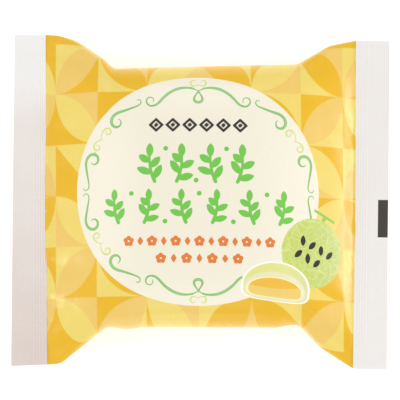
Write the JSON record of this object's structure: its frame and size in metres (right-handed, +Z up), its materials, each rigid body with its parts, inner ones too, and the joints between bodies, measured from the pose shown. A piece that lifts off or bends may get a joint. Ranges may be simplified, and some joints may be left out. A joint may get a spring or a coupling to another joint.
{
  "type": "flow-wrapped bun pack",
  "caption": "Shut pillow pack of printed film over a round bun, crimped flat at both ends, with a folded seam along its back.",
  "frame": {"origin": "centre of the pack's outline, at the flat back that it rests on", "axes": "+X along the pack from one end seal to the other, +Y across it towards the upper edge of the print, +Z up out of the printed side"},
  "size_m": [0.1502, 0.1328, 0.04],
  "materials": {
    "printed_film": "smooth thin packing film, satin gloss, printed in yellow and orange with white ends"
  },
  "bodies": {
    "root": {"bun_pack": "printed_film"}
  },
  "joints": []
}
